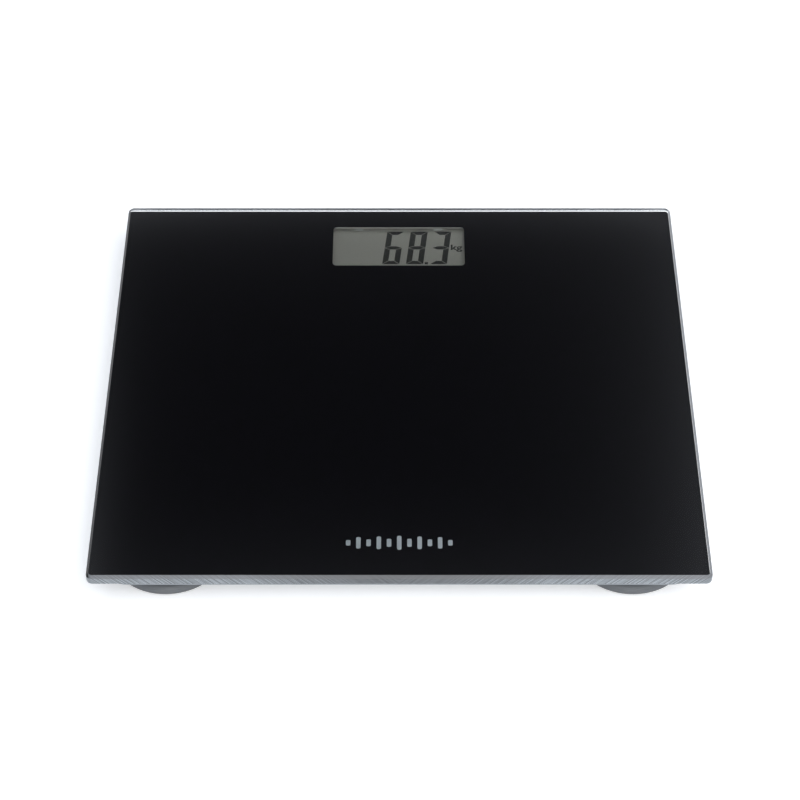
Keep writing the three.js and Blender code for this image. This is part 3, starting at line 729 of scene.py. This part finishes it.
def displayUnit(low):
    text = bpy.data.curves.new("unit_sign", "FONT")
    text.body = displayPart["unit"]
    text.offset = displayPart["unitWeight"]
    text.extrude = 0.002  # any depth will do, as it is scaled to the ink's
    sign = bpy.data.objects.new("unit_sign", text)
    scene.collection.objects.link(sign)
    mesh = bpy.data.meshes.new_from_object(sign.evaluated_get(bpy.context.evaluated_depsgraph_get()))
    bpy.data.objects.remove(sign)
    corners = [v.co.copy() for v in mesh.vertices]
    lowX, highX = min(c.x for c in corners), max(c.x for c in corners)
    lowY, lowZ, highZ = min(c.y for c in corners), min(c.z for c in corners), max(c.z for c in corners)
    scale = displayPart["unitWidth"] / (highX - lowX)
    for v in mesh.vertices:
        v.co = (
            displayPart["unitLeft"] + (v.co.x - lowX) * scale,
            displayPart["unitBottom"] + (v.co.y - lowY) * scale * displayPart["unitSquash"],
            low + (v.co.z - lowZ) / (highZ - lowZ) * displayPart["inkThickness"],
        )
    mesh.materials.clear()
    mesh.materials.append(looks["displayInk"])
    piece = bpy.data.objects.new("display_unit", mesh)
    scene.collection.objects.link(piece)
    return piece


def paneBlock(name, node, look, slot):
    low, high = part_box(node)
    width, depth = high.x - low.x, high.y - low.y
    centre = ((low.x + high.x) / 2, (low.y + high.y) / 2)
    bm = bmesh.new()
    loops = [rectangleLoop(width, depth, displayPart["paneCorner"], z, centre, 3) for z in (low.z, high.z)]
    addLoops(bm, loops, [0], closeStart=0, closeEnd=0)
    piece = softenEdges(finishMesh(name, bm, [look]), 0.1 * mm)
    return settle(piece, "platform", slot, node)


def display():
    paneBlock("display_front_pane", "lcd_front_glass", "pane", "lcd_glass")
    paneBlock("display_rear_pane", "lcd_rear_glass", "displayGround", "lcd_glass")
    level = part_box("lcd_rear_glass")[1].z + displayPart["inkLift"]
    for piece in (displayDigits(level), displayUnit(level)):
        settle(piece, "platform", "epoxy")


def displayClips():
    # two clips that hold the front pane against the frame
    part = displayPart["clips"]
    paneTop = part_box("lcd_front_glass")[1].z
    wall = windowCentre.y + windowSize.y / 2 + part["reach"]
    bm = bmesh.new()
    for middle in part["places"]:
        loops = [rectangleLoop(part["width"], part["depth"], displayPart["paneCorner"], z, (middle, wall), 3)
                 for z in (paneTop + part["gap"], paneTop + part["height"])]
        addLoops(bm, loops, [0], closeStart=0, closeEnd=0)
    piece = softenEdges(finishMesh("display_clips", bm, ["innerPlastic"]), 0.08 * mm)
    return settle(piece, "platform", "inner_plastic")


display()
displayClips()
print("display made")


# Tray

def joinedCopy(name, node, look):
    # the CAD piece with its loose triangles joined into whole faces
    bm = bmesh.new()
    bm.from_mesh(frame["nodes"][node].data)
    bmesh.ops.remove_doubles(bm, verts=bm.verts, dist=1e-6)
    bmesh.ops.dissolve_limit(bm, angle_limit=radians(0.5), verts=bm.verts, edges=bm.edges)
    for face in bm.faces:
        face.material_index = 0
    return finishMesh(name, bm, [look])


settle(joinedCopy("tray_moulding", "base_tray", "trayPlastic"), "platform", "tray_plastic", "base_tray")

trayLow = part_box("base_tray")[0]
ribPart = {
    "width": 2.4 * mm, "depth": 120 * mm, "height": 0.7 * mm, "radius": 1.15 * mm, "bars": 5,
    "step": (7.5 * mm, 0.0), "level": trayLow.z - 0.6 * mm,
    "firstX": {"left": -74 * mm, "right": 44 * mm},
}
for side, firstX in ribPart["firstX"].items():
    ribs = barRow("stiffening_ribs_" + side, "trayPlastic", {**ribPart, "first": (firstX, 0.0)}, 0.25 * mm)
    settle(ribs, "platform", "tray_plastic")


platePart = {
    "width": 62 * mm, "depth": 34 * mm, "centre": (0, -42 * mm), "border": 1.2 * mm, "corner": 2.5 * mm,
    "rootDepth": 0.2 * mm, "borderHeight": 0.4 * mm, "faceHeight": 0.12 * mm,
}


def ratingPlate():
    # a blank plate in a low raised border
    part = platePart

    def ring(inset, drop):
        return rectangleLoop(part["width"] - 2 * inset, part["depth"] - 2 * inset, part["corner"] - inset,
                             trayLow.z - drop, part["centre"], 6)

    border = part["border"]
    loops = [ring(0, -part["rootDepth"]), ring(0, part["borderHeight"]), ring(border, part["borderHeight"]),
             ring(border, part["faceHeight"])]
    bm = bmesh.new()
    addLoops(bm, loops, [0, 0, 0], closeStart=0, closeEnd=1)
    piece = softenEdges(finishMesh("rating_plate", bm, ["trayPlastic", "plateFoil"]), 0.1 * mm)
    return settle(piece, "platform", "tray_plastic")


ratingPlate()

gripPart = {
    "width": 15 * mm, "depth": 0.9 * mm, "height": 0.35 * mm, "radius": 0.42 * mm, "bars": 5,
    "step": (0.0, 1.9 * mm), "first": (0.0, 37 * mm), "level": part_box("battery_door")[0].z - 0.25 * mm,
}
settle(barRow("door_grips", "trayPlastic", gripPart, 0.12 * mm), "door", "tray_plastic")
print("tray made")


# Feet and pads

footPart = {
    "discTop": 5 * mm, "rimRound": 1.0 * mm, "topRound": 3.8 * mm, "roundSteps": 5,
    "pocketGap": 0.15 * mm, "pocketDepth": 0.05 * mm, "pocketLedge": 1.2 * mm, "pocketChamfer": 0.2 * mm,
    "stemRadius": 12.8 * mm, "stemTop": 9.45 * mm, "bossRadius": 5 * mm, "chamfer": 0.5 * mm,
}
padPart = {
    "grooves": 4, "grooveDepth": 0.35 * mm, "grooveTop": 1.4 * mm, "grooveBottom": 0.8 * mm,
    "centreRadius": 0.4 * mm, "rimRound": 0.3 * mm,
    "studs": 36, "studRadius": 0.5 * mm, "studStand": 0.1 * mm, "studLift": 0.02 * mm,
}


def arcPoints(centreR, centreZ, radius, start, end, steps):
    turns = [start + (end - start) * i / steps for i in range(steps + 1)]
    return [(centreR + radius * cos(turn), centreZ + radius * sin(turn)) for turn in turns]


def footDisc(corner):
    # the foot as turned plastic, with a rounded rim, a pocket for its pad and a stem
    part = footPart
    low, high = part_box("foot_" + corner)
    padLow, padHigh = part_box("foot_pad_" + corner)
    radius = (high.x - low.x) / 2
    pocket = (padHigh.x - padLow.x) / 2 + part["pocketGap"]
    pocketTop = padHigh.z + part["pocketDepth"]
    rim, top, cut = part["rimRound"], part["topRound"], part["chamfer"]
    stem, stemTop, boss = part["stemRadius"], part["stemTop"], part["bossRadius"]
    profile = [(pocket - part["pocketLedge"], pocketTop), (pocket, pocketTop),
               (pocket, low.z + part["pocketChamfer"]), (pocket + part["pocketChamfer"], low.z)]
    profile += arcPoints(radius - rim, low.z + rim, rim, -pi / 2, 0, part["roundSteps"])
    profile += arcPoints(radius - top, part["discTop"] - top, top, 0, pi / 2, part["roundSteps"])
    profile += [(stem + cut, part["discTop"]), (stem, part["discTop"] + cut), (stem, stemTop), (boss, stemTop),
                (boss, high.z - cut), (boss - cut, high.z)]
    bm = bmesh.new()
    addLoops(bm, turnedLoops(profile, (low + high) / 2), [0] * len(profile), closeStart=0, closeEnd=0)
    return finishMesh("foot_disc_" + corner, bm, ["footPlastic"])


def padDisc(corner):
    # the rubber pad, with turned grooves in its underside
    part = padPart
    low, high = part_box("foot_pad_" + corner)
    radius, rim = (high.x - low.x) / 2, part["rimRound"]
    step = radius / (part["grooves"] + 1)
    floorZ, grooveZ = low.z, low.z + part["grooveDepth"]
    top, bottom = part["grooveTop"] / 2, part["grooveBottom"] / 2
    profile = [(part["centreRadius"], floorZ)]
    for groove in range(1, part["grooves"] + 1):
        middle = groove * step
        profile += [(middle - top, floorZ), (middle - bottom, grooveZ), (middle + bottom, grooveZ),
                    (middle + top, floorZ)]
    profile += arcPoints(radius - rim, floorZ + rim, rim, -pi / 2, 0, 3)
    profile += [(radius, high.z)]
    bm = bmesh.new()
    addLoops(bm, turnedLoops(profile, (low + high) / 2, 72), [0] * len(profile), closeStart=0, closeEnd=0)
    return finishMesh("pad_disc_" + corner, bm, ["rubber"])


def padStuds(corner):
    # small studs that stand in the pad's outermost groove
    low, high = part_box("foot_pad_" + corner)
    grooves = padPart["grooves"]
    return studRing("pad_studs_" + corner, "rubber", {
        "ring": grooves / (grooves + 1) * (high.x - low.x) / 2, "stud": padPart["studRadius"],
        "height": padPart["grooveDepth"] + padPart["studStand"], "studs": padPart["studs"],
        "centre": ((low + high) / 2).to_2d(), "level": low.z + padPart["studLift"],
    })


for cornerName in cornerNames:
    settle(footDisc(cornerName), cornerName + "_foot", "foot_plastic", "foot_" + cornerName)
    settle(padDisc(cornerName), cornerName + "_foot", "rubber", "foot_pad_" + cornerName)
    settle(padStuds(cornerName), cornerName + "_foot", "rubber")
print("feet made")


# The other CAD pieces keep their shape and take the finish of their slot

slotLooks = {
    "tray_plastic": "trayPlastic", "inner_plastic": "innerPlastic", "rubber": "rubber", "foam": "foam",
    "steel": "steel", "nickel": "nickel", "board": "board", "epoxy": "epoxy", "silicone": "silicone",
    "wire": "wire", "lcd_glass": "displayGround", "foot_plastic": "footPlastic", "dark_glass": "backPrint",
}
for part in frame["record"]["subparts"]:
    node = frame["nodes"][part["node"]]
    node.data.materials.clear()
    look = "framePlastic" if part["node"] == "display_frame" else slotLooks[part["material_slot"]]
    node.data.materials.append(looks[look])
print("CAD pieces dressed")


# Floor, light and camera

studio = {
    "floorSize": 8.0, "floorShade": 0.95, "floorGlow": 0.26,
    "domeColour": (0.92, 0.97, 1.05, 1), "domeLight": 0.45, "capLight": 1.8,
    "dimX": -0.024, "dimZ": 0.72, "dimLevel": 0.1,  # the direction that the platform mirrors
    "dimRight": 0.17, "dimLeft": 0.094, "dimHeight": 0.075,
    # how the light comes back on each side of it, as (power, share) pairs of the distance
    "riseRight": ((3, 0.44), (10, 2.3)), "riseLeft": ((3, 0.05), (12, 0.25)),
    "riseAbove": ((3, 1.2),), "riseBelow": ((3, 0.3), (13, 3)),
    "farLeftX": -0.2, "farLeftDim": 0.35,
    "zenithZ": 0.945, "zenithFade": 0.02, "zenithDim": 0.9,
    "capZ": 0.80, "capFade": 0.12,
    "keyPower": 12.0, "keySize": 1.3, "keyPlace": Vector((1.2, -0.5, 0.95)),
    "fillPower": 16.0, "fillSize": 1.3, "fillPlace": Vector((0.1, -1.4, 1.15)),
    "lens": 109.25, "tilt": 45.48, "cameraPlace": Vector((0.00035, -0.8568, 0.8776)),
}


def floor():
    bm = bmesh.new()
    half = studio["floorSize"] / 2
    bm.faces.new([bm.verts.new((x * half, y * half, 0)) for x, y in ((-1, -1), (1, -1), (1, 1), (-1, 1))])
    ground = bpy.data.meshes.new("floor")
    bm.to_mesh(ground)
    bm.free()
    shade = studio["floorShade"]
    white = (shade, shade, shade, 1)
    surface = material("pale_floor", None, Base_Color=white, Roughness=0.9, Specular_IOR_Level=0.1,
                       Emission_Color=white, Emission_Strength=studio["floorGlow"])
    graph = Graph(surface.node_tree)
    seen = graph.node("ShaderNodeMixShader", None, {
        0: graph.node("ShaderNodeNewGeometry", out="Backfacing"),
        1: Sock(graph, surface.node_tree.nodes["Principled BSDF"].outputs[0]),
        2: graph.node("ShaderNodeBsdfTransparent")})
    graph.feed(seen, surface.node_tree.nodes["Material Output"].inputs["Surface"])
    ground.materials.append(surface)
    plane = bpy.data.objects.new("floor", ground)
    scene.collection.objects.link(plane)


def dome():
    # a soft light, dimmer where the platform mirrors it towards the camera and straight overhead
    world = bpy.data.worlds.new("studio_dome")
    world.use_nodes = True
    scene.world = world
    graph = Graph(world.node_tree)
    x, _, z = graph.axes(graph.node("ShaderNodeTexCoord", out="Generated"))
    right = ((x - studio["dimX"]) / studio["dimRight"]).largest(0)
    left = ((studio["dimX"] - x) / studio["dimLeft"]).largest(0)
    above = ((z - studio["dimZ"]) / studio["dimHeight"]).largest(0)
    below = ((studio["dimZ"] - z) / studio["dimHeight"]).largest(0)
    level = studio["dimLevel"]
    for side, distance in (("Right", right), ("Left", left), ("Above", above), ("Below", below)):
        for power, share in studio["rise" + side]:
            level = level + share * distance ** power
    level = level.smallest(1) * (1 - studio["farLeftDim"] * (studio["farLeftX"] - x).clamped())
    zenith = ((z - studio["zenithZ"]) / studio["zenithFade"]).clamped()
    level = level * (1 - studio["zenithDim"] * zenith)
    overhead = ((z - studio["capZ"]) / studio["capFade"]).clamped()
    background = world.node_tree.nodes["Background"]
    graph.feed(level * (studio["domeLight"] + studio["capLight"] * overhead), background.inputs["Strength"])
    background.inputs["Color"].default_value = studio["domeColour"]


def softbox(name, place, size, power):
    lamp = bpy.data.lights.new(name, "AREA")
    lamp.shape = "SQUARE"
    lamp.size = size
    lamp.energy = power
    fitted = bpy.data.objects.new(name, lamp)
    fitted.location = place
    fitted.rotation_euler = place.to_track_quat("Z", "Y").to_euler()
    scene.collection.objects.link(fitted)


def camera():
    lens = bpy.data.cameras.new("camera")
    lens.lens = studio["lens"]
    lens.sensor_width = 36
    fitted = bpy.data.objects.new("camera", lens)
    fitted.location = studio["cameraPlace"]
    fitted.rotation_euler = (radians(90 - studio["tilt"]), 0, 0)
    scene.collection.objects.link(fitted)
    scene.camera = fitted


floor()
dome()
softbox("key_softbox", studio["keyPlace"], studio["keySize"], studio["keyPower"])
softbox("fill_softbox", studio["fillPlace"], studio["fillSize"], studio["fillPower"])
camera()
scene.view_settings.view_transform = "Standard"
print("studio set")
